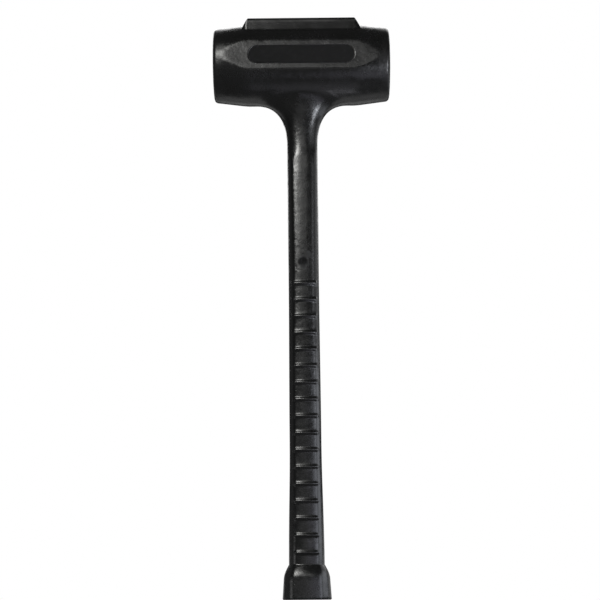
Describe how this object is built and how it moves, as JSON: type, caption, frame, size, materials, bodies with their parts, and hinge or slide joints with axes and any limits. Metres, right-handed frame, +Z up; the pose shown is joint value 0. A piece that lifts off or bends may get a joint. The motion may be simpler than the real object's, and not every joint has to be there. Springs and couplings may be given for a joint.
{
  "type": "dead blow hammer",
  "caption": "Dead-blow hammer with a barrel head and ribbed handle cast in one piece of polyurethane round a steel rod and a sealed canister of loose steel shot.",
  "frame": {"origin": "centre of the flat butt end of the handle", "axes": "+Z up the handle to the head, +X along the head towards its right striking face, the front and back lands face -Y and +Y"},
  "size_m": [0.176, 0.075, 0.5676],
  "materials": {
    "urethane": "black cast polyurethane, semi-gloss, with a faintly pitted moulded skin",
    "canister_steel": "mill-finish steel tube",
    "cap_steel": "turned steel",
    "weld_metal": "welded steel bead",
    "shot_steel": "bright steel",
    "rod_steel": "cold-drawn steel bar"
  },
  "bodies": {
    "hammer": {"urethane_jacket": "urethane", "canister_tube": "canister_steel", "left_end_cap": "cap_steel", "right_end_cap": "cap_steel", "left_cap_weld": "weld_metal", "right_cap_weld": "weld_metal", "rod_socket": "canister_steel", "socket_weld": "weld_metal", "core_rod": "rod_steel", "socket_pin": "shot_steel", "anchor_washer": "cap_steel"},
    "shot": {"shot_charge": "shot_steel"}
  },
  "joints": [
    {"name": "shot_slide", "type": "slide", "parent": "hammer", "child": "shot", "axis": [1, 0, 0], "range_m": [-0.011, 0.011]}
  ]
}
